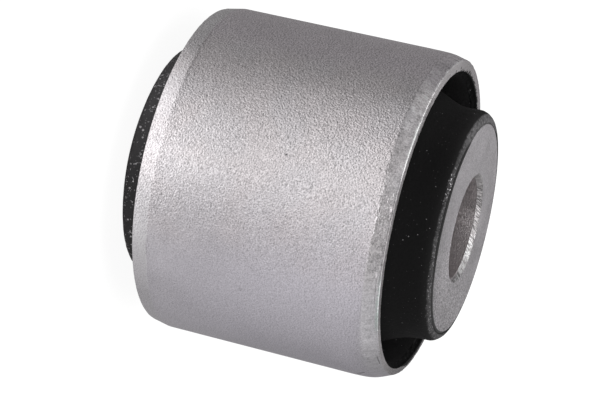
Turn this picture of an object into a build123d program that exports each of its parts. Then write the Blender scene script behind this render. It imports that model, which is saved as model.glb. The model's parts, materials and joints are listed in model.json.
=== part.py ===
from build123d import *
import math
import os

# Rubber metal bush: a thick inner steel sleeve for the bolt, a thin outer steel sleeve for the
# eye, and one rubber body bonded between them. All three are turned about the same axis, +Z.
# Z = 0 is the lower end face of the inner sleeve, on which the bush stands. Millimetres.

# Radial stack, from the bolt outwards
bolt_dia = 12.0
bolt_clearance = 1.0        # on the diameter
inner_wall = 7.5
rubber_wall = 5.0           # from sleeve to sleeve
outer_wall = 2.0

# Lengths
outer_length = 31.5
overhang = 4.6              # inner sleeve beyond the outer one, at each end

# Inner sleeve edges
bore_chamfer = 0.4          # off the radius
bore_chamfer_rise = 0.6     # along the axis
inner_chamfer = 0.7

# Outer sleeve ends: the upper one leads into the eye, the lower one has a slimmer taper
lead_length = 1.6
lead_depth = 0.8            # off the radius
tail_length = 2.05
tail_depth = 0.4

# Rubber body: at each end a neck round the inner sleeve, a groove, and a skin up the outer one
neck_wall = 0.7
neck_setback = 0.1          # the neck rolls over the sleeve's chamfer, to this far below its face
neck_round = 1.2            # radius of that roll
flare_rise = 0.6            # the flank leaves the neck this far outside the outer sleeve
flare_angle = 24.0          # flank to axis
flare_blend = 6.0
groove_floor = 1.3          # width of the flat floor between the flank and the skin
skin_wall = 0.5
skin_setback = 0.3          # from the skin's edge to the rim

# Radii and heights that follow
bore_r = (bolt_dia + bolt_clearance) / 2
inner_r = bore_r + inner_wall
outer_bore_r = inner_r + rubber_wall
outer_r = outer_bore_r + outer_wall
neck_r = inner_r + neck_wall
skin_r = outer_bore_r - skin_wall

inner_length = outer_length + 2 * overhang
middle = inner_length / 2
outer_low = middle - outer_length / 2
outer_top = middle + outer_length / 2


def turned(corners):
    """Revolves a closed half section; each corner is (radius, height, blend radius)."""
    with BuildPart() as ring:
        with BuildSketch(Plane.XZ):
            with BuildLine():
                points = [(r, z) for r, z, blend in corners]
                blends = [blend for r, z, blend in corners]
                FilletPolyline(points, radius=blends, close=True)
            make_face()
        revolve(axis=Axis.Z)
    return ring.part


def inner_sleeve():
    """Thick tube, chamfered at the bore and round the outside of both end faces."""
    return turned([
        (bore_r, bore_chamfer_rise, 0),
        (bore_r, inner_length - bore_chamfer_rise, 0),
        (bore_r + bore_chamfer, inner_length, 0),
        (inner_r - inner_chamfer, inner_length, 0),
        (inner_r, inner_length - inner_chamfer, 0),
        (inner_r, inner_chamfer, 0),
        (inner_r - inner_chamfer, 0, 0),
        (bore_r + bore_chamfer, 0, 0),
    ])


def outer_sleeve():
    """Thin tube, tapered on the outside at both ends."""
    return turned([
        (outer_bore_r, outer_low, 0),
        (outer_bore_r, outer_top, 0),
        (outer_r - lead_depth, outer_top, 0),
        (outer_r, outer_top - lead_length, 0),
        (outer_r, outer_low + tail_length, 0),
        (outer_r - tail_depth, outer_low, 0),
    ])


def rubber_end():
    """One end of the rubber's half section, from the inner sleeve out to the outer one.

    Heights are counted from the middle of the bush. The flank runs down to a flat floor at the
    foot of the skin.
    """
    neck_top = inner_length / 2 - neck_setback
    lip_r = inner_r - inner_chamfer + neck_setback
    flank_top = outer_length / 2 + flare_rise
    floor_r = skin_r - groove_floor
    floor_top = flank_top - (floor_r - neck_r) / math.tan(math.radians(flare_angle))
    skin_top = outer_length / 2 - skin_setback
    return [
        (inner_r, inner_length / 2 - inner_chamfer, 0),
        (lip_r, neck_top, 0),
        (neck_r, neck_top, min(neck_round, 0.95 * (neck_r - lip_r))),
        (neck_r, flank_top, flare_blend),
        (floor_r, floor_top, 0),
        (skin_r, floor_top, 0),
        (skin_r, skin_top, 0),
        (outer_bore_r, skin_top, 0),
    ]


def rubber_body():
    """The rubber bonded between the sleeves, the same at both ends."""
    upper = [(r, middle + z, blend) for r, z, blend in rubber_end()]
    lower = [(r, middle - z, blend) for r, z, blend in reversed(rubber_end())]
    return turned(upper + lower)


os.makedirs("parts", exist_ok=True)
export_step(outer_sleeve(), "parts/outer_sleeve.step")
export_step(rubber_body(), "parts/rubber_body.step")
export_step(inner_sleeve(), "parts/inner_sleeve.step")
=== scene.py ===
import json
import math

import bmesh
import bpy
from mathutils import Matrix, Vector, noise


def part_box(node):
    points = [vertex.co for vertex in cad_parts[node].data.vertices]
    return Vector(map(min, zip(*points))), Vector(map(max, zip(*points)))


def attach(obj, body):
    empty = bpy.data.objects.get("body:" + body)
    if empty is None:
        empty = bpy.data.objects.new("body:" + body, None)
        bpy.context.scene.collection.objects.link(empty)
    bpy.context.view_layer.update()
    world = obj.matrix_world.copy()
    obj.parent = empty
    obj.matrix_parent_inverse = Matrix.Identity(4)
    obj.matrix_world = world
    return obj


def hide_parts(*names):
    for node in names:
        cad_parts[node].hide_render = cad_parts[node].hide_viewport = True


# Rubber metal bush, standing on the lower end of its inner sleeve, axis +Z. The studio is in
# metres, the pieces' dictionaries in mm. Angles round the axis count from -Y, the front,
# towards +X.
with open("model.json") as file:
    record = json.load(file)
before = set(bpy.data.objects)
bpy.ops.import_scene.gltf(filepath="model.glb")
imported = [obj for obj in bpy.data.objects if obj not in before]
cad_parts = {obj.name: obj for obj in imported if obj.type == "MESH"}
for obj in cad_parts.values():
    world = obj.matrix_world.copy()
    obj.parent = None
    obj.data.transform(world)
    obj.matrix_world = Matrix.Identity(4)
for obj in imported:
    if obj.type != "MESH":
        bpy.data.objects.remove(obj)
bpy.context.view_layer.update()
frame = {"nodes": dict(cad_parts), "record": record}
mm = 0.001
print("frame loaded:", ", ".join(sorted(frame["nodes"])))


def nodeSizes(node):
    # what a turned CAD node measures, in mm; its facets touch the full radius at their corners
    low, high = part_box(node)
    radius = max(high.x, high.y, -low.x, -low.y)
    return {"radius": round(radius / mm, 3), "low": round(low.z / mm, 3),
            "top": round(high.z / mm, 3)}


def mountRadius(name):
    return next(mount["dims"]["r_mm"] for mount in frame["record"]["mounts"]
                if mount["name"] == name)


wallRadius = nodeSizes("outer_sleeve")["radius"]


# Shader maths

class Signal:
    # a float socket that takes part in Python sums; each operator adds a Math node
    def __init__(self, bench, socket):
        self.bench = bench
        self.socket = socket

    def maths(self, operation, *values):
        node = self.bench.node("ShaderNodeMath", {"operation": operation}, dict(enumerate(values)))
        return Signal(self.bench, node.outputs[0])

    def __add__(self, other):
        return self.maths("ADD", self, other)

    def __sub__(self, other):
        return self.maths("SUBTRACT", self, other)

    def __rsub__(self, other):
        return self.maths("SUBTRACT", other, self)

    def __mul__(self, other):
        return self.maths("MULTIPLY", self, other)

    __radd__ = __add__
    __rmul__ = __mul__

    def root(self):
        return self.maths("SQRT", self)

    def size(self):
        return self.maths("ABSOLUTE", self)

    def larger(self, other):
        return self.maths("MAXIMUM", self, other)

    def smaller(self, other):
        return self.maths("MINIMUM", self, other)

    def rise(self, low, high):
        # 0 below low, 1 above high, smooth between; low above high falls instead
        return self.bench.signal("ShaderNodeMapRange", {"interpolation_type": "SMOOTHSTEP"},
                                 {0: self, 1: low, 2: high, 3: 0.0, 4: 1.0})

    def between(self, low, high, soft):
        return self.rise(low - soft, low + soft) * self.rise(high + soft, high - soft)

    def along(self, stretches):
        # soft-edged stretches added up; each is its start, end, softness and amount
        parts = [self.between(low, high, soft) * amount for low, high, soft, amount in stretches]
        return sum(parts[1:], parts[0])


class Bench:
    # builds the nodes of one material or world
    def __init__(self, holder):
        self.holder = holder
        holder.use_nodes = True
        self.tree = holder.node_tree
        self.tree.nodes.clear()

    def node(self, kind, settings=None, sockets=None):
        made = self.tree.nodes.new(kind)
        for name, value in (settings or {}).items():
            setattr(made, name, value)
        for name, value in (sockets or {}).items():
            value = value.socket if isinstance(value, Signal) else value
            if isinstance(value, bpy.types.NodeSocket):
                self.tree.links.new(value, made.inputs[name])
            else:
                made.inputs[name].default_value = value
        return made

    def signal(self, kind, settings=None, sockets=None, output=0):
        return Signal(self, self.node(kind, settings, sockets).outputs[output])

    def vector(self, x, y, z=0.0):
        return self.node("ShaderNodeCombineXYZ", {}, {0: x, 1: y, 2: z}).outputs[0]

    def noise(self, spot, scale, detail=2.0, roughness=0.5):
        return self.signal("ShaderNodeTexNoise", {}, {
            "Vector": spot, "Scale": scale, "Detail": detail, "Roughness": roughness})

    def relief(self, spot, scale, gap):
        # how fast a noise rises along the axis, over a gap in mm; in a colour it is painted shading
        # of bumps lit from along the axis
        ahead, behind = (self.node("ShaderNodeVectorMath", {"operation": "ADD"}, {
            0: spot, 1: (0, 0, side * gap * 0.5 * mm)}).outputs[0] for side in (1, -1))
        return self.noise(ahead, scale, 1.0) - self.noise(behind, scale, 1.0)

    def specks(self, spot, scale, size, share):
        # round dots of a radius of size cells, in a share of the cells, no two alike
        cells = self.node("ShaderNodeTexVoronoi", {}, {"Vector": spot, "Scale": scale})
        chance = self.node("ShaderNodeSeparateColor", {}, {0: cells.outputs["Color"]})
        pick = Signal(self, chance.outputs[0]).rise(share + 0.01, share - 0.01)
        reach = Signal(self, chance.outputs[1]) * size + 0.4 * size
        return (reach - Signal(self, cells.outputs["Distance"])).rise(0.0, 0.3 * size) * pick

    def patch(self, plane, middle, size, turn):
        # 0 at the middle of a mark on the unrolled wall, 1 at its edge; degrees and mm
        degrees, height = middle
        spot = self.node("ShaderNodeMapping", {"vector_type": "TEXTURE"}, {
            "Vector": plane,
            "Location": (math.radians(degrees) * wallRadius * mm, height * mm, 0),
            "Rotation": (0, 0, math.radians(turn)), "Scale": (size[0] * mm, size[1] * mm, 1)})
        return self.signal("ShaderNodeVectorMath", {"operation": "LENGTH"},
                           {0: spot.outputs[0]}, "Value")

    def blend(self, mask, first, second):
        # the first colour where the mask is 0, the second where it is 1
        mixed = self.node("ShaderNodeMix", {"data_type": "RGBA"}, {0: mask, 6: first, 7: second})
        return mixed.outputs[2]

    def shade(self, colour, level):
        # a colour times a number
        colour = colour[:3] if isinstance(colour, tuple) else colour
        return self.node("ShaderNodeVectorMath", {"operation": "SCALE"},
                         {0: colour, "Scale": level}).outputs[0]

    def finish(self, shader):
        kind = "World" if isinstance(self.holder, bpy.types.World) else "Material"
        self.node("ShaderNodeOutput" + kind, {}, {0: shader.outputs[0]})
        return self.holder


class Place:
    # where a shaded point lies: Object coordinates, and what they give round the axis
    def __init__(self, bench):
        self.spot = bench.node("ShaderNodeTexCoord").outputs["Object"]
        split = bench.node("ShaderNodeSeparateXYZ", {}, {0: self.spot})
        x, y, self.z = (Signal(bench, socket) for socket in split.outputs)
        self.radius = (x * x + y * y).root()
        self.angle = x.maths("ARCTAN2", x, y * -1.0)
        self.around = self.angle * (180 / math.pi)   # degrees
        self.out = self.radius * 1000                # mm
        self.height = self.z * 1000                  # mm


def newMaterial(name):
    return Bench(bpy.data.materials.new(name))


def opaque(colour):
    return (*colour, 1)


def grey(level):
    return (level, level, level, 1)


# Camera, light and floor

studio = {
    "lens": 125.9,
    "eye": (0.001346, -0.256500, 0.093648),
    "right": (-0.23197, 0.27176, 0.93399),     # the bush's axis runs to the right of the frame
    "up": (-0.97272, -0.06481, -0.22273),
    "shift": (-0.5 / 600, 0.5 / 600),
    "roomLevel": 0.20,
    # soft glows of the room: direction, half width in degrees where it fades out, level
    "glows": [((6, -1), 33, 1.75), ((68, 1), 60, 0.50), ((-61, 37), 56, 0.30),
              ((118, 18), 48, 0.14)],
    "floorColour": 0.80, "floorReach": 4,
    "paperWhite": 0.93, "paperShadow": 0.17,   # what the camera sees: glow, and the part in shadow
    # pools of light on the floor that the metal mirrors: place, radius, level
    "poolLevel": 0.28,
    "pools": [((-0.0032, -0.0280), 0.0270, 1.00), ((0.1320, -0.1240), 0.2250, 0.66),
              ((-0.0573, -0.1291), 0.1260, 1.28), ((0.0, 0.115), 0.075, 0.50),
              ((0.190, 0.070), 0.120, 0.20)],
    "poolWarm": (1.0, 0.985, 0.985),
    "poolCool": (0.985, 0.965, 1.02),
    "poolTurn": (-0.01, 0.08),                 # along X, where warm turns to cool
    "lampPlace": (0.0, 0.10, 0.70),
    "lampSize": 1.2,
    "lampPower": 4.66,
    "lampAim": (0, 0, 0.02),
}


def towards(angle, rise):
    # unit vector at an angle round the axis and a rise above the floor, in degrees
    a, e = math.radians(angle), math.radians(rise)
    return Vector((math.sin(a) * math.cos(e), -math.cos(a) * math.cos(e), math.sin(e)))


def buildCamera():
    data = bpy.data.cameras.new("camera")
    data.lens = studio["lens"]
    data.sensor_width = 36
    data.shift_x, data.shift_y = studio["shift"]
    data.clip_start = 0.01
    camera = bpy.data.objects.new("camera", data)
    right = Vector(studio["right"]).normalized()
    up = Vector(studio["up"])
    up = (up - right * up.dot(right)).normalized()
    turned = Matrix((right, up, right.cross(up))).transposed().to_4x4()
    camera.matrix_world = Matrix.Translation(studio["eye"]) @ turned
    bpy.context.scene.collection.objects.link(camera)
    bpy.context.scene.camera = camera


def buildLamp():
    data = bpy.data.lights.new("overhead", "AREA")
    data.shape = "DISK"
    data.size = studio["lampSize"]
    data.energy = studio["lampPower"]
    lamp = bpy.data.objects.new("overhead", data)
    lamp.location = studio["lampPlace"]
    lamp.rotation_mode = "QUATERNION"
    lamp.rotation_quaternion = (Vector(studio["lampAim"]) - lamp.location).to_track_quat("-Z", "Y")
    lamp.visible_camera = False
    bpy.context.scene.collection.objects.link(lamp)


def seenDirectly(bench, ray):
    # 1 for what the camera sees, straight or through a clear piece
    return Signal(bench, ray.outputs["Is Camera Ray"]).larger(
        Signal(bench, ray.outputs["Is Transmission Ray"]))


def buildRoom():
    world = bpy.data.worlds.new("room")
    bpy.context.scene.world = world
    bench = Bench(world)
    ray = bench.node("ShaderNodeLightPath")
    look = bench.node("ShaderNodeTexCoord").outputs["Generated"]
    level = studio["roomLevel"]
    for (angle, rise), width, glow in studio["glows"]:
        facing = bench.signal("ShaderNodeVectorMath", {"operation": "DOT_PRODUCT"},
                              {0: look, 1: towards(angle, rise)}, "Value")
        level = facing.rise(math.cos(math.radians(width)), 1.0) * glow + level
    room = bench.node("ShaderNodeBackground", {}, {0: bench.shade(grey(1), level), 1: 1.0})
    white = bench.node("ShaderNodeBackground", {}, {0: grey(1), 1: 1.0})
    bench.finish(bench.node("ShaderNodeMixShader", {}, {
        0: seenDirectly(bench, ray), 1: room.outputs[0], 2: white.outputs[0]}))


def buildFloor():
    sheet = bmesh.new()
    bmesh.ops.create_grid(sheet, x_segments=1, y_segments=1, size=studio["floorReach"])
    mesh = bpy.data.meshes.new("floor")
    sheet.to_mesh(mesh)
    sheet.free()
    floor = bpy.data.objects.new("floor", mesh)
    bpy.context.scene.collection.objects.link(floor)
    bench = newMaterial("floor_paper")
    ray = bench.node("ShaderNodeLightPath")
    matt = bench.node("ShaderNodeBsdfDiffuse", {}, {0: grey(studio["floorColour"])})
    faint = bench.node("ShaderNodeBsdfDiffuse", {}, {0: grey(studio["paperShadow"])})
    white = bench.node("ShaderNodeEmission", {}, {0: grey(studio["paperWhite"]), 1: 1.0})
    paper = bench.node("ShaderNodeAddShader", {}, {0: faint.outputs[0], 1: white.outputs[0]})
    # metal mirrors the white paper where the light pools on it
    spot = bench.node("ShaderNodeTexCoord").outputs["Object"]
    level = studio["poolLevel"]
    for (x, y), radius, glow in studio["pools"]:
        away = bench.signal("ShaderNodeVectorMath", {"operation": "DISTANCE"},
                            {0: spot, 1: (x, y, 0)}, "Value")
        level = away.rise(radius, 0.0) * glow + level
    across = bench.node("ShaderNodeSeparateXYZ", {}, {0: spot}).outputs[0]
    tint = bench.blend(Signal(bench, across).rise(*studio["poolTurn"]),
                       opaque(studio["poolWarm"]), opaque(studio["poolCool"]))
    pool = bench.node("ShaderNodeEmission", {}, {0: bench.shade(tint, level), 1: 1.0})
    plain = bench.node("ShaderNodeMixShader", {}, {
        0: seenDirectly(bench, ray), 1: matt.outputs[0], 2: paper.outputs[0]})
    mesh.materials.append(bench.finish(bench.node("ShaderNodeMixShader", {}, {
        0: ray.outputs["Is Glossy Ray"], 1: plain.outputs[0], 2: pool.outputs[0]})))


buildCamera()
buildLamp()
buildRoom()
buildFloor()
bpy.context.scene.view_settings.view_transform = "Standard"
print("studio built")


# Turned rings

# radians a step turns on a rounding, parts of the full turn, and distances in mm
turning = {"arcStep": 0.2, "shares": 8, "onLine": 0.0001, "merge": 0.002}


def roundCorner(ring, vert, corners, i):
    here, before, after = (Vector(corners[k % len(corners)][:2]) for k in (i, i - 1, i + 1))
    turn = (here - before).angle(after - here)
    rounding = corners[i][2]
    bmesh.ops.bevel(ring, geom=[vert], offset=rounding * math.tan(turn / 2) * mm,
                    offset_type="OFFSET", affect="VERTICES", profile=0.5, material=-1,
                    segments=max(3, round(turn / turning["arcStep"])))


def liesOn(spot, start, end):
    # whether a point lies on the straight line between two corners
    along = (end - start).normalized()
    offset = spot - start
    off = (offset - along * offset.dot(along)).length
    return off < turning["onLine"] and 0 < offset.dot(along) < (end - start).length


def splitRuns(ring, runs):
    # divides the straight edge left of each run into edges no longer than the run asks for
    for edge in ring.edges[:]:
        middle = (edge.verts[0].co + edge.verts[1].co) / 2 / mm
        for start, end, longest in runs:
            if liesOn(Vector((middle.x, middle.z)), start, end):
                cuts = math.ceil(edge.calc_length() / mm / longest) - 1
                if cuts > 0:
                    bmesh.ops.subdivide_edges(ring, edges=[edge], cuts=cuts)
                break


def turnRing(corners, steps):
    # a closed half section spun round the axis; each corner is its radius and height in mm, the
    # radius of its rounding, and the longest edge wanted on the run that follows it
    ring = bmesh.new()
    verts = [ring.verts.new((r * mm, 0, z * mm)) for r, z, rounding, longest in corners]
    for i in range(len(verts)):
        ring.edges.new((verts[i - 1], verts[i]))
    for i, vert in enumerate(verts):
        if corners[i][2]:
            roundCorner(ring, vert, corners, i)
    splitRuns(ring, [(Vector(start[:2]), Vector(end[:2]), start[3])
                     for start, end in zip(corners, corners[1:] + corners[:1])])
    # one share of the turn is spun and then doubled, because one full spin takes far longer
    share = turning["shares"]
    bmesh.ops.spin(ring, geom=ring.verts[:] + ring.edges[:], cent=(0, 0, 0), axis=(0, 0, 1),
                   angle=2 * math.pi / share, steps=steps // share)
    while share > 1:
        copied = bmesh.ops.duplicate(ring, geom=ring.verts[:] + ring.edges[:] + ring.faces[:])
        bmesh.ops.rotate(ring, cent=(0, 0, 0), matrix=Matrix.Rotation(2 * math.pi / share, 3, "Z"),
                         verts=[part for part in copied["geom"]
                                if isinstance(part, bmesh.types.BMVert)])
        share //= 2
    bmesh.ops.remove_doubles(ring, verts=ring.verts, dist=turning["merge"] * mm)
    return ring


def layPiece(name, mesh, material, node):
    bmesh.ops.recalc_face_normals(mesh, faces=mesh.faces)
    for face in mesh.faces:
        face.smooth = True
    data = bpy.data.meshes.new(name)
    mesh.to_mesh(data)
    mesh.free()
    data.materials.append(material)
    piece = bpy.data.objects.new(name, data)
    bpy.context.scene.collection.objects.link(piece)
    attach(piece, "root")
    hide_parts(node)
    print(name, "laid:", len(data.polygons), "faces")


def smooth(value, low, high):
    t = min(1.0, max(0.0, (value - low) / (high - low)))
    return t * t * (3 - 2 * t)


def ripple(angle, height, waves, seed, layers=2):
    # noise of about -1 to 1 on a wall: waves round the turn, height in mm
    along = wallRadius * 2 * math.pi / waves
    spot = Vector((math.cos(angle) * wallRadius / along, math.sin(angle) * wallRadius / along,
                   height / along))
    return noise.fractal(spot + Vector((seed * 7.3, seed * 3.1, seed * 5.7)), 0.7, 2.0, layers)


# Outer sleeve

outerSleeve = {
    **nodeSizes("outer_sleeve"),
    "wall": 2.0, "edge": 0.14,
    "steps": 720, "leadRows": 5.0, "tailRows": 2.8,     # fine rows reach this far from each end
    "leadLength": 1.70, "leadLonger": 0.50, "leadDroop": 0.06,
    "leadDepth": 0.80, "leadOffset": 0.28,     # the upper taper is turned off centre, deeper at +X
    "leadBlend": 0.12, "leadBlendTop": 0.75, "leadBlendLow": 1.10,
    "tailDepth": 0.40, "tailLength": 2.05, "tailWander": 0.16, "tailBlend": 0.04,
    "rimWander": 0.035, "burr": 0.07, "farLift": 0.15, "farAngle": -150,
    "colour": (0.720, 0.686, 0.700), "cloudColour": (0.712, 0.688, 0.708),
    "leftColour": (0.724, 0.682, 0.716), "rightColour": (0.700, 0.680, 0.708),
    "tailColour": (0.700, 0.686, 0.702), "primer": (0.50, 0.60, 0.56),
    "roughness": 0.36,
    # scales of the finish are in cells per metre
    "relief": 4300, "reliefGap": 0.085, "reliefPaintedShade": 1.38, "bumpHeight": 0.00007,
    "grain": 6500, "grainContrast": 1.15,
    "mottle": 260, "mottleContrast": 0.12, "ragged": 2400, "cloud": 190,
    "calm": 0.50,              # how much finer the blasting is at the front right
    "leadCalm": 0.30,          # and on the upper taper
    "pits": 420, "pitSize": 0.035, "pitDepth": 0.45,
    "paintedSparkles": 1500, "sparkSize": 0.075, "sparklePaintedHighlight": 0.20,
    "wander": 420, "wanderReach": 0.5,                  # of the lines where the tapers start
    "streak": (3400, 700),                              # round the wall and along it
    "streaks": 0.60, "rub": 1500, "rubbed": 1.20, "dashes": 0.10, "startLine": 0.09,
    "slant": (2600, 500), "scuffs": 0.28,
    "brightLowFront": 0.085, "dull": 0.05, "dullPlace": ((24, 8.9), (2.6, 0.7), 5),
    "wornHighlightGrey": 0.86, "endFace": 0.79, "crestShade": 0.45, "primerCover": 0.6,
    "broken": 1500, "patchy": 420,
    "film": 0.010, "filmCells": 1900, "filmReach": 0.03, "filmWander": 0.5, "filmSpots": 0.85,
    # soft stretches round the axis: start, end and softness in degrees, and how much brighter;
    # except the start lines, these are painted light and shade
    "leadPaintedLight": [(-60, -36, 5, 0.15), (34, 46, 4, -0.12)],
    "tailPaintedLight": [(-38, -14, 5, 0.14), (24, 50, 6, 0.22), (-85, -50, 8, 0.07)],
    "besideTailPaintedShade": [(-33, 20, 5, -0.10)],
    "upperPaintedLight": [(-36, -26, 3, 0.07)],
    "lowerPaintedLight": [(20, 42, 6, 0.13)],
    "startLines": [(-50, -32, 4, 0.13)],
    "facePaintedLight": [(-78, -44, 8, 0.24), (-42, 24, 8, 0.20)],
    # and the same for how far the film creeps out and how ragged it is
    "filmMore": [(-125, -85, 10, 0.27), (103, 128, 8, 0.55)],
    "filmRagged": [(-130, -62, 10, 3.0)],
    # marks: degrees round the axis and height, half sizes round and up the wall, turn, strength
    "nicks": [
        ((-9.7, 22.07), (0.12, 0.12), 0, 0.75), ((39.6, 19.0), (0.28, 0.20), 0, 0.18),
        ((76.5, 33.1), (1.25, 0.14), 141, 0.65), ((64, 35.80), (1.5, 0.06), 2, 0.6),
        ((61.6, 34.7), (0.14, 0.10), 0, 0.5), ((-30.8, 35.0), (0.08, 0.30), -20, 0.35),
        ((-27.2, 34.5), (0.10, 0.28), 25, 0.35), ((-80, 35.9), (0.25, 0.10), 0, 0.6),
        ((28, 35.62), (2.6, 0.05), 1, 0.45), ((-38, 19.0), (0.16, 0.10), 30, 0.25),
    ],
    # painted highlights at and near the upper rim; the three near the lower taper are brighter
    # smears and the last is a brushed patch
    "highlightsAndSmears": [
        ((55.3, 33.7), (0.10, 0.10), 0, 0.5), ((58.1, 34.45), (0.12, 0.10), 0, 0.5),
        ((-28.5, 35.98), (0.30, 0.14), 0, 0.8), ((-19.3, 35.98), (0.45, 0.10), 0, 0.6),
        ((-13.9, 35.98), (0.35, 0.10), 0, 0.5), ((-5.5, 7.5), (1.6, 0.9), 10, 0.08),
        ((-1.0, 6.7), (1.4, 0.5), 0, 0.08), ((7.0, 6.5), (0.5, 0.35), 0, 0.12),
        ((-42.0, 35.4), (0.9, 0.5), 40, 0.14),
    ],
}


def leadDepth(angle):
    return outerSleeve["leadDepth"] + outerSleeve["leadOffset"] * math.sin(angle)


def wallDrop(angle, height):
    # how far the wall has left its full radius, in mm
    sleeve = outerSleeve
    degrees = math.degrees(angle)
    soft = (sleeve["leadBlend"] + (sleeve["leadBlendTop"] - sleeve["leadBlend"])
            * smooth(-degrees, 30, 55) + (sleeve["leadBlendLow"] - sleeve["leadBlend"])
            * smooth(degrees, 30, 65))
    length = sleeve["leadLength"] + sleeve["leadLonger"] * smooth(degrees, 50, 85)
    past = height - sleeve["top"] + length
    droop = sleeve["leadDroop"] * smooth(degrees, 80, 95) * smooth(degrees, 125, 105)
    lead = (leadDepth(angle) + droop) / length * (past + math.hypot(past, soft)) / 2
    length = sleeve["tailLength"] + sleeve["tailWander"] * ripple(angle, 0, 30, 1)
    past = sleeve["low"] + length - height
    tail = sleeve["tailDepth"] / length * (past + math.hypot(past, sleeve["tailBlend"])) / 2
    return lead + tail


def shapeOuterSleeve():
    sleeve = outerSleeve
    wall, low, top, edge = (sleeve[k] for k in ("radius", "low", "top", "edge"))
    bore = wall - sleeve["wall"]
    ring = turnRing([
        (bore, low, edge / 2, 3.5),
        (bore, top, edge, 0.2),
        (wall, top, edge, 0.16),
        (wall, top - sleeve["leadRows"], 0, 30.0),
        (wall, low + sleeve["tailRows"], 0, 0.14),
        (wall, low, edge / 2, 0.3),
    ], sleeve["steps"])
    farAngle = math.radians(sleeve["farAngle"])
    for vert in ring.verts:
        x, y, z = (value / mm for value in vert.co)
        radius, angle = math.hypot(x, y), math.atan2(x, -y)
        degrees = math.degrees(angle)
        outside = (radius - bore) / (wall - bore)
        radius -= outside * wallDrop(angle, z)
        # chips and a burr along the upper rim
        rimward = smooth(z, top - 0.5, top - 0.05)
        if rimward and outside > 0:
            radius += rimward * outside * sleeve["rimWander"] * ripple(angle, 0, 260, 3, 3)
            z += rimward * sleeve["rimWander"] * 0.7 * ripple(angle, outside * 3, 300, 4)
            front = smooth(degrees, -110, -90) * smooth(degrees, 45, 15)
            crest = outside ** 12 * max(0.0, 0.35 + ripple(angle, 0, 180, 5, 3))
            z += rimward * crest * front * sleeve["burr"]
            radius += rimward * crest * front * 0.5 * sleeve["burr"]
        far = 0.5 + 0.5 * math.cos(angle - farAngle)
        z += far ** 2 * sleeve["farLift"] * smooth(z, top - 4.5, top - 0.2)
        lowward = smooth(z, low + 0.4, low + 0.05)
        if lowward and outside > 0:
            radius += lowward * outside * sleeve["rimWander"] * ripple(angle, 0, 200, 6)
        vert.co = (radius * math.sin(angle) * mm, -radius * math.cos(angle) * mm, z * mm)
    return ring


def markedPlaces(bench, wall, ragged, marks):
    # the strongest of several soft-edged marks at each place on the wall
    total = None
    for middle, half, turn, strength in marks:
        mark = (bench.patch(wall, middle, half, turn) + ragged).rise(1.2, 0.7) * strength
        total = mark if total is None else total.larger(mark)
    return total


def pastTapers(bench, place):
    # how far a point lies past the start of each taper, in mm; both lines wander a little
    sleeve = outerSleeve
    wander = (bench.noise(place.spot, sleeve["wander"], 2.0) - 0.5) * sleeve["wanderReach"]
    longer = place.around.rise(50, 85) * place.around.rise(180, 150) * sleeve["leadLonger"]
    return (place.height - (sleeve["top"] - sleeve["leadLength"]) + wander + longer,
            (sleeve["low"] + sleeve["tailLength"]) - place.height + wander)


def taperToneAndPaintedLight(bench, place, leadPast, tailPast, lead, tail, streak):
    # what the tapers add to the brightness: they are burnished along the axis, with streaks,
    # rubbing, scuffs and dashes, darker where each taper starts, and they carry painted light and
    # shade round the axis
    sleeve = outerSleeve
    around = place.around
    rubbed = (bench.noise(place.spot, sleeve["rub"], 3.0) - 0.5) * (
        1 - around.rise(12, 34) * 0.65 - around.rise(-88, -108) * 0.60)
    dashes = streak.rise(0.60, 0.68) * lead * around.rise(-48, -36) * around.rise(30, 5)
    startLine = (leadPast.between(-0.16, 0.02, 0.08) * around.rise(30, 10)
                 + tailPast.between(-0.34, -0.06, 0.12) * around.between(-62, -26, 6))
    unrolled = place.angle * (wallRadius * mm)
    across, along = sleeve["slant"]
    slant = bench.vector((unrolled - place.z) * across, (unrolled + place.z) * along)
    scuffs = (bench.noise(slant, 1.0, 1.0).rise(0.50, 0.62) * around.between(-47, -33, 3)
              * (place.height - sleeve["top"]).between(-1.4, -0.2, 0.2))
    startDepth = around.along(sleeve["startLines"]) + sleeve["startLine"]
    return (lead * ((streak - 0.5) * sleeve["streaks"] + rubbed * sleeve["rubbed"]
                    + around.along(sleeve["leadPaintedLight"]))
            + tail * around.along(sleeve["tailPaintedLight"]) + scuffs * sleeve["scuffs"]
            - dashes * sleeve["dashes"] - startLine * startDepth)


def wallColour(bench, place, tail):
    # the grey leans a little to pink, blue or violet from place to place
    sleeve = outerSleeve
    around = place.around
    tint = bench.blend(bench.noise(place.spot, sleeve["cloud"], 1.0).rise(0.35, 0.65),
                       opaque(sleeve["cloudColour"]), opaque(sleeve["colour"]))
    for mask, colour in (
            (around.rise(-42, -56), sleeve["leftColour"]),
            (around.rise(20, 34), sleeve["rightColour"]),
            (tail * (1 - around.between(-40, 8, 10)), sleeve["tailColour"])):
        tint = bench.blend(mask, tint, opaque(colour))
    return tint


def rimWear(bench, place, overTop, pastEdge):
    # masks of the edge's wear, bright with painted highlight from -80 to -12 degrees, the painted
    # shade on the rounding beside it and the primer left on it
    around = place.around
    broken = bench.noise(place.spot, outerSleeve["broken"], 3.0)
    patchy = bench.noise(place.spot, outerSleeve["patchy"], 2.0).rise(0.30, 0.60) * 0.6 + 0.4
    wornAndHighlit = (overTop.rise(-0.16, -0.10) * patchy * broken.rise(0.34, 0.50)
            * (pastEdge.rise(-0.34, -0.22) * around.between(-80, -12, 5) * 0.45
               + pastEdge.rise(-0.80, -0.40) * around.between(-40, -16, 4) * 0.55))
    crest = overTop.rise(-0.20, -0.10) * pastEdge.rise(-0.26, -0.12) * around.between(-12, 24, 3)
    primed = (overTop.rise(-0.40, -0.20) * pastEdge.rise(-0.22, -0.12)
              * around.between(26, 44, 6) * broken.rise(0.62, 0.50))
    return wornAndHighlit, crest, primed


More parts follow.
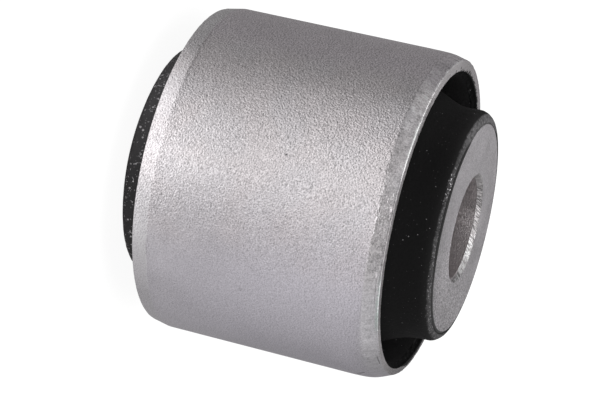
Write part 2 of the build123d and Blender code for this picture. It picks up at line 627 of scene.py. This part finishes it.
def rubberFilm(bench, place, overTop):
    # mask of the thin black film that crept over the end faces from the bore
    sleeve = outerSleeve
    around = place.around
    pastBore = place.out - (sleeve["radius"] - sleeve["wall"])
    creep = bench.noise(place.spot, sleeve["filmCells"], 3.0, 0.65) - 0.5
    reach = (creep * sleeve["filmWander"] * (around.along(sleeve["filmRagged"]) + 1.0)
             + around.along(sleeve["filmMore"]) + sleeve["filmReach"])
    spots = (bench.specks(place.spot, 1500, 0.34, 0.8) * pastBore.rise(0.75, 0.50)
             * around.between(-118, -62, 8) * overTop.rise(-0.40, -0.30))
    return (reach - pastBore).rise(-0.08, 0.08).larger(pastBore.rise(0.10, 0.03)).larger(
        spots * sleeve["filmSpots"])


def blastedSteel():
    sleeve = outerSleeve
    bench = newMaterial("blasted_steel")
    place = Place(bench)
    spot, angle, around, height = place.spot, place.angle, place.around, place.height
    wall = bench.vector(angle * (wallRadius * mm), place.z)
    grain = bench.noise(spot, sleeve["grain"], 0.0) - 0.5
    relief = bench.relief(spot, sleeve["relief"], sleeve["reliefGap"])
    mottle = bench.noise(spot, sleeve["mottle"], 2.0) - 0.5
    ragged = bench.noise(spot, sleeve["ragged"], 2.0) - 0.5
    across, along = sleeve["streak"]
    streak = bench.noise(bench.vector(angle * (wallRadius * mm * across), place.z * along,
                                      place.radius * along), 1.0, 2.0)
    leadPast, tailPast = pastTapers(bench, place)
    lead = leadPast.rise(-0.06, 0.06)
    tail = tailPast.rise(-0.05, 0.05)

    nicks = markedPlaces(bench, wall, ragged * 0.9, sleeve["nicks"])
    # painted highlights at the rim, with smears and a brushed patch
    highlightsAndSmears = markedPlaces(bench, wall, ragged * 1.6, sleeve["highlightsAndSmears"])
    pits = bench.specks(spot, sleeve["pits"], sleeve["pitSize"], 0.5)
    # painted highlights: bright specks that stand in for light off the grain
    paintedSparkles = bench.specks(spot, sleeve["paintedSparkles"], sleeve["sparkSize"], 0.6)
    # brighter from -4 degrees, fading out by 12, and below a height of 9 to 17 mm
    brightLowFront = around.rise(-4.6, -3.6) * around.rise(12, -2) * height.rise(17, 9)
    dull = bench.patch(wall, *sleeve["dullPlace"]).rise(1.3, 0.5)
    coarse = (1 - around.rise(8, 38) * around.rise(150, 100) * sleeve["calm"]) * (
        1 - lead * sleeve["leadCalm"])
    # painted shade: the relief term shades the grain as if lit from along the axis
    level = ((grain * sleeve["grainContrast"] + relief * sleeve["reliefPaintedShade"]) * coarse
             + 1.0 + mottle * sleeve["mottleContrast"]
             + taperToneAndPaintedLight(bench, place, leadPast, tailPast, lead, tail, streak)
             # painted light on the wall above and below its middle at some angles, and painted
             # shade beside the lower taper
             + around.along(sleeve["upperPaintedLight"]) * height.rise(15, 30)
             + around.along(sleeve["lowerPaintedLight"]) * height.rise(15, 8)
             + around.along(sleeve["besideTailPaintedShade"]) * height.rise(8.8, 7.0) * (1 - tail)
             + highlightsAndSmears + paintedSparkles * sleeve["sparklePaintedHighlight"] + brightLowFront * sleeve["brightLowFront"]
             - dull * sleeve["dull"])
    level = level * (1 - nicks) * (1 - pits * sleeve["pitDepth"])
    colour = bench.shade(wallColour(bench, place, tail), level)

    # end faces, turned; the upper one lies inside the off-centre taper
    edge = angle.maths("SINE", angle) * -sleeve["leadOffset"] + (
        sleeve["radius"] - sleeve["leadDepth"])
    overTop = height - sleeve["top"]
    pastEdge = place.out - edge
    upper = overTop.rise(-0.20, -0.07) * pastEdge.rise(-0.02, -0.14)
    under = (height - sleeve["low"]).rise(0.10, 0.03)
    face = upper.larger(under)
    turned = bench.noise(bench.vector(angle * 40, place.radius * 9000, place.z * 500), 1.0, 2.0)
    # painted light on the end faces from -78 to 24 degrees, and painted shade past 60 degrees
    endLevel = ((turned - 0.5) * 0.25 + grain * 0.8 + sleeve["endFace"]
                + around.along(sleeve["facePaintedLight"]) - around.rise(60, 92) * 0.30)
    colour = bench.blend(face, colour, bench.shade(opaque(sleeve["colour"]), endLevel))
    wornAndHighlit, crest, primed = rimWear(bench, place, overTop, pastEdge)
    film = rubberFilm(bench, place, overTop)
    # painted shade on the rounding at the front of the rim, then wear with painted highlight on the
    # edge
    colour = bench.shade(colour, 1 - crest * sleeve["crestShade"])
    colour = bench.blend(wornAndHighlit, colour, grey(sleeve["wornHighlightGrey"]))
    colour = bench.blend(primed * sleeve["primerCover"], colour, opaque(sleeve["primer"]))
    colour = bench.blend(film, colour, grey(sleeve["film"]))

    rough = (mottle * 0.08 + sleeve["roughness"] - lead * 0.03 + face * 0.04 - highlightsAndSmears * 0.15
             + nicks * 0.20 - wornAndHighlit * 0.10 + film * 0.35)
    bumps = (bench.noise(spot, sleeve["relief"], 1.0) * coarse * sleeve["bumpHeight"]
             - nicks * 0.00005 - pits * 0.00004 + streak * lead * 0.000006)
    bump = bench.node("ShaderNodeBump", {}, {"Height": bumps, "Distance": 1.0})
    return bench.finish(bench.node("ShaderNodeBsdfPrincipled", {}, {
        "Base Color": colour, "Metallic": 1 - film.larger(wornAndHighlit * 0.6), "Roughness": rough,
        "Specular IOR Level": 0.15, "Normal": bump.outputs[0]}))


layPiece("outer_sleeve_blasted", shapeOuterSleeve(), blastedSteel(), "outer_sleeve")


# Rubber

rubberBody = {
    **nodeSizes("rubber_body"),
    "inner": nodeSizes("inner_sleeve")["radius"],
    "neckWall": 0.7, "skinWall": 0.5,
    # heights from the bush's middle
    "chamferFoot": 19.65, "flankTop": 16.35, "floorTop": 10.73, "skinTop": 15.25, "skinBack": 15.6,
    "lipIn": 0.6, "roll": 1.2, "flankBlend": 6.0, "floorWidth": 1.3,
    "steps": 480,
    "skinWander": 0.16, "skinLift": 0.10, "neckWander": 0.03,
    "aside": 0.12, "asideAngle": -100, "proud": 0.07,  # the upper roll leans and stands up behind
    "lowSwell": 0.30, "lowTuck": 0.14,                 # the lower roll is thicker and tucked in
    "colour": 0.0080, "tint": (1.0, 0.97, 1.0), "roughness": 0.72,
    # scales of the finish are in cells per metre
    "bump": 3200, "bumpHeight": 0.00005,
    "dust": 0.30, "dustCells": 2000, "dustSize": 0.13, "dustShare": 0.14,
    "lintCells": 2600, "lintSize": 0.15, "gritCells": 1900, "gritSize": 0.24, "grit": 0.6,
    "cloud": 300, "frayed": 900, "patchy": 1900, "fleck": 4200, "cluster": 3600,
    "lowerDustAndLight": 0.055,            # the lower end, paler with dust in the skin and with painted light
    "rollGreyAndSheen": 0.055, "rollFleck": 0.55,
    "groovePaintedLight": 2.6, "skinEdgeShade": 0.92,
    # soft stretches round the axis: start, end and softness in degrees, and the amount
    # painted light on the rubber from -80 to -38 degrees
    "rubberPaintedLight": [(-80, -38, 12, 0.45)],
    # painted highlight on the roll's flecks
    "rubbed": [(-26, -12, 5, 1.60)],
}
rubberMiddle = (rubberBody["low"] + rubberBody["top"]) / 2


def shapeRubber():
    rubber = rubberBody
    inner, outer, middle = rubber["inner"], rubber["radius"], rubberMiddle
    neck, skin = inner + rubber["neckWall"], outer - rubber["skinWall"]
    neckTop = rubber["top"] - middle
    # half an end, outwards from the inner sleeve; heights count from the middle
    end = [
        (inner, rubber["chamferFoot"], 0, 0.3),
        (inner - rubber["lipIn"], neckTop, 0, 0.3),
        (neck, neckTop, rubber["roll"], 0.5),
        (neck, rubber["flankTop"], rubber["flankBlend"], 1.0),
        (skin - rubber["floorWidth"], rubber["floorTop"], 0.3, 0.4),
        (skin, rubber["floorTop"], 0.3, 1.0),
        (skin, rubber["skinTop"], 0.1, 0.12),
        (outer, rubber["skinBack"], 0.05, 12.0),
    ]
    # the lower end runs the other way, so each corner takes the run before it
    runs = [run for r, z, rounding, run in end]
    upper = [(r, middle + z, rounding, run) for r, z, rounding, run in end]
    lower = [(r, middle - z, rounding, run) for (r, z, rounding, _), run in
             zip(reversed(end), runs[-2::-1] + runs[-1:])]
    ring = turnRing(upper + lower, rubber["steps"])
    asideAngle = math.radians(rubber["asideAngle"])
    for vert in ring.verts:
        x, y, z = (value / mm for value in vert.co)
        radius, angle = math.hypot(x, y), math.atan2(x, -y)
        degrees = math.degrees(angle)
        reach = abs(z - middle)
        side = 1 if z > middle else -1
        onNeck = radius < neck + 0.4
        if radius > skin - 0.3 and reach > 14.8:
            lift = rubber["skinWander"] * ripple(angle, side * 9, 110, 8, 3)
            z += side * smooth(reach, 14.8, 15.2) * min(rubber["skinLift"], lift)
        if onNeck and reach > 16.0:
            radius += (rubber["neckWander"] * smooth(reach, 16.0, 17.5)
                       * smooth(radius, inner, inner + 0.4) * ripple(angle, z, 70, 9, 3))
        if onNeck and side < 0:
            shell = smooth(radius, inner - 0.2, inner + 0.5) * smooth(reach, 16.5, 19.0)
            radius += rubber["lowSwell"] * shell
            z += rubber["lowTuck"] * smooth(reach, 19.0, 20.2)
        lean = smooth(radius, 13.35, 13.7) * smooth(reach, 16.5, 19.0)
        lean *= onNeck and side > 0
        z += lean * rubber["proud"] * smooth(reach, 19.5, 20.1) * (
            smooth(-degrees, 70, 105) + smooth(degrees, 85, 110))
        lean *= rubber["aside"]
        vert.co = ((radius * math.sin(angle) + lean * math.sin(asideAngle)) * mm,
                   -(radius * math.cos(angle) + lean * math.cos(asideAngle)) * mm, z * mm)
    return ring


def rollWearAndHighlight(bench, place, reach, frayed):
    # mask of the grey band on the roll round the inner sleeve, wear with painted highlight,
    # strongest from -56 to -100 degrees, and how strongly it is flecked, with painted highlight on
    # the flecks near -20 degrees
    around = place.around
    overTop = reach - (rubberBody["top"] - rubberMiddle)
    pastSleeve = place.out - rubberBody["inner"]
    onTop = around.rise(-34, -56) * around.rise(-120, -100)
    lowFront = around.between(18, 105, 10)
    band = ((overTop + frayed * 0.6).rise(-0.47, -0.25)
            * (pastSleeve + frayed * 0.3 + onTop * 0.45 + lowFront * 0.30).rise(-0.24, -0.10)
            * (onTop * 1.2 + 1.0) * (1 - lowFront * pastSleeve.rise(0.0, 0.3) * 0.45))
    flecks = bench.noise(place.spot, rubberBody["fleck"], 1.0).rise(0.58, 0.68) * band
    rubbed = around.along(rubberBody["rubbed"]) + around.rise(-30, 10) * 0.20 + 0.10
    return band, flecks * rubbed


def dustAndLowerLight(bench, place, reach, frayed, cloud, dust):
    # what dust, lint and grit add to the brightness, most of it at the lower end, and painted light
    # over the lower end, strongest below -45 degrees
    rubber = rubberBody
    around = place.around
    below = place.height.rise(5.2, 4.4) * (reach + frayed).rise(20.0, 19.4)
    lint = bench.specks(place.spot, rubber["lintCells"], rubber["lintSize"], 0.5)
    grains = bench.specks(place.spot, rubber["gritCells"], rubber["gritSize"], 0.5)
    grains = grains * around.rise(-62, -48)
    thick = bench.noise(place.spot, rubber["frayed"], 2.0).rise(0.44, 0.62)
    clusters = bench.noise(place.spot, rubber["cluster"], 1.0).rise(0.63, 0.70) * thick
    clusters = clusters * around.rise(-66, -52)
    lowerLightByAngle = around.rise(25, -45) * 1.3 + 0.9
    return (dust * rubber["dust"] + lint * (below * 0.25 + 0.045)
            + (grains + clusters * 0.8) * below * rubber["grit"]
            + below * lowerLightByAngle * (cloud * 0.6 + 1.0) * rubber["lowerDustAndLight"])


def mouldedRubber():
    rubber = rubberBody
    bench = newMaterial("moulded_rubber")
    place = Place(bench)
    spot = place.spot
    reach = (place.height - rubberMiddle).size()
    fine = bench.noise(spot, rubber["bump"], 2.0)
    cloud = bench.noise(spot, rubber["cloud"], 2.0) - 0.5
    frayed = (bench.noise(spot, rubber["frayed"], 2.0) - 0.5) * 0.5
    patchy = bench.noise(spot, rubber["patchy"], 2.0).rise(0.30, 0.60) * 0.75 + 0.25
    band, flecks = rollWearAndHighlight(bench, place, reach, frayed)
    level = ((cloud * 0.4 + 1.0 + (fine - 0.5) * 0.5 + place.around.along(rubber["rubberPaintedLight"]))
             * rubber["colour"] + band * patchy * rubber["rollGreyAndSheen"] + flecks * rubber["rollFleck"])
    # painted light makes the skin paler deep in the groove, and painted shade makes its edge
    # blacker
    groove = (place.out - (rubber["radius"] - rubber["skinWall"])).rise(-1.4, -1.1)
    pastSkin = reach - rubber["skinTop"]
    skinEdgeShade = groove * pastSkin.rise(-0.10, 0.05)
    level = level * (groove * pastSkin.rise(-0.05, -0.25) * rubber["groovePaintedLight"] + 1.0) * (
        1 - skinEdgeShade * rubber["skinEdgeShade"])
    dust = bench.specks(spot, rubber["dustCells"], rubber["dustSize"], rubber["dustShare"])
    level = level + dustAndLowerLight(bench, place, reach, frayed, cloud, dust)
    bump = bench.node("ShaderNodeBump", {}, {
        "Height": fine * rubber["bumpHeight"] + dust * 0.00003, "Distance": 1.0})
    return bench.finish(bench.node("ShaderNodeBsdfPrincipled", {}, {
        "Base Color": bench.shade(rubber["tint"], level),
        "Roughness": cloud * 0.15 + rubber["roughness"] - band * 0.12 + skinEdgeShade * 0.28,
        "Specular IOR Level": 0.15, "Normal": bump.outputs[0]}))


layPiece("rubber_moulding", shapeRubber(), mouldedRubber(), "rubber_body")


# Inner sleeve

innerSleeve = {
    **nodeSizes("inner_sleeve"),
    "bore": mountRadius("bolt_bore"), "chamfer": 0.4, "chamferRise": 0.6, "lip": 13.27,
    "colour": (0.552, 0.529, 0.550), "boreColour": (0.560, 0.525, 0.530),
    "cutColour": (0.618, 0.594, 0.600),
    "roughness": 0.40,
    # scales of the finish are in cells per metre
    "grain": 5200, "mottle": 300, "fleck": 4200, "torn": 1500,
    "bump": 5600, "bumpHeight": 0.00006,
    "strokes": 1.15, "strokeContrast": 1.1, "strokeFloor": 0.32,
    # soft stretches round the axis: start, end and softness in degrees, and the amount
    "chamferPaintedLight": [(112, 164, 12, 0.75), (-184, -140, 8, -0.15), (-150, -78, 8, -0.45)],
    "cutWider": [(-150, -86, 10, 0.22)],
    "cutDeeper": [(60, 120, 12, 0.30)],
    "lipOut": [(-16, 100, 12, -0.22), (55, 100, 8, 0.06), (-100, -50, 8, 0.06)],
    "coatSmearsAndSheen": [(-100, -50, 8, 0.10), (-45, -5, 6, 0.012), (30, 95, 8, 0.014)],
}


def faceToneAndLight(bench, place, grain, mottle, rings):
    # brightness of the outside and the faces: grain, mottle, flecks and turned rings, with painted
    # light towards -50 degrees and painted shade towards 130, and from -8 to 95 degrees painted
    # light near the bore and painted shade further out
    around = place.around
    coarse = around.between(20, 140, 20)
    flecks = bench.noise(place.spot, innerSleeve["fleck"], 1.0).rise(0.62, 0.72)
    # painted light and shade, by angle and by radius
    lean = (place.angle.maths("COSINE", place.angle + 0.9)
            - (place.out - 9.5) * around.between(-8, 95, 15) * 1.1 + around.rise(-12, -35))
    return (grain * (coarse * 1.1 + 0.8) + 1.0 + mottle * 0.24 + lean * 0.05
            + flecks * (coarse * 0.28 + 0.10) + rings * 0.06)


def chamferStrokes(bench, place):
    # short strokes of the tool across the bore's chamfer, broader where it chattered
    angle, z, radius = place.angle, place.z, place.radius
    fine = bench.noise(bench.vector(angle * 46 + z * 6500, z * 1200, radius * 1200), 1.0, 2.0)
    broad = bench.noise(bench.vector(angle * 24 + z * 4200, z * 900, radius * 900), 1.0, 2.0)
    chattered = place.around.between(60, 132, 10)
    return fine.rise(0.36, 0.64) * (1 - chattered) + broad.rise(0.40, 0.60) * chattered


def turnedSteel():
    sleeve = innerSleeve
    bench = newMaterial("turned_steel")
    place = Place(bench)
    spot, radius, angle, z = place.spot, place.radius, place.angle, place.z
    around, out = place.around, place.out
    grain = bench.noise(spot, sleeve["grain"], 0.0) - 0.5
    mottle = bench.noise(spot, sleeve["mottle"], 2.0) - 0.5
    rings = bench.noise(bench.vector(angle * 6, radius * 6000, z * 6000), 1.0, 2.0) - 0.5
    level = faceToneAndLight(bench, place, grain, mottle, rings)
    colour = bench.shade(opaque(sleeve["colour"]), level)

    # drawn bore, dull and dark
    inside = (out - sleeve["bore"]).rise(0.12, 0.04)
    drawn = bench.noise(bench.vector(angle * 9, radius * 400, z * 420), 1.0, 3.0) - 0.5
    wallLevel = drawn * 1.1 + 1.12 + grain * 0.3 + rings * 0.2
    colour = bench.blend(inside, colour, bench.shade(opaque(sleeve["boreColour"]), wallLevel))

    # its chamfer, bright and torn along the edge, with painted highlight from 112 to 164 degrees
    # and painted shade from -184 to -78 degrees
    strokes = chamferStrokes(bench, place)
    torn = (bench.noise(spot, sleeve["torn"], 2.0) - 0.5) * 0.3
    wider = around.along(sleeve["cutWider"]) + around.rise(128, 150) * 0.24
    fromEnd = place.height.smaller(sleeve["top"] - place.height)
    cut = ((sleeve["bore"] + sleeve["chamfer"] + 0.04) - out + torn + wider).rise(-0.04, 0.04)
    cut = cut * (fromEnd + around.along(sleeve["cutDeeper"])).rise(
        sleeve["chamferRise"] + 0.06, sleeve["chamferRise"] - 0.02)
    chamferPaintedLight = around.along(sleeve["chamferPaintedLight"]) + sleeve["strokes"]
    bright = (strokes * sleeve["strokeContrast"] + sleeve["strokeFloor"]) * chamferPaintedLight
    colour = bench.blend(cut, colour, bench.shade(sleeve["cutColour"], bright))

    # rubber left on the outer chamfer hides it; its grey is paler from -100 to -50 degrees, smeared
    # rubber with painted highlight
    coated = (out + torn * 0.2 - (around.along(sleeve["lipOut"]) + sleeve["lip"])).rise(-0.03, 0.03)
    colour = bench.blend(coated, colour, bench.shade(
        grey(1), around.along(sleeve["coatSmearsAndSheen"]) + 0.010))
    rough = mottle * 0.08 + sleeve["roughness"] + inside * 0.05 - cut * 0.04 + coated * 0.3
    bumps = (bench.noise(spot, sleeve["bump"], 1.0) * sleeve["bumpHeight"]
             + strokes * cut * 0.00004 + drawn * inside * 0.00003)
    bump = bench.node("ShaderNodeBump", {}, {"Height": bumps, "Distance": 1.0})
    return bench.finish(bench.node("ShaderNodeBsdfPrincipled", {}, {
        "Base Color": colour, "Metallic": 1 - coated, "Roughness": rough,
        "Normal": bump.outputs[0]}))


sleeveSteel = turnedSteel()
for slot in frame["nodes"]["inner_sleeve"].material_slots:
    slot.material = sleeveSteel
print("inner sleeve finished")
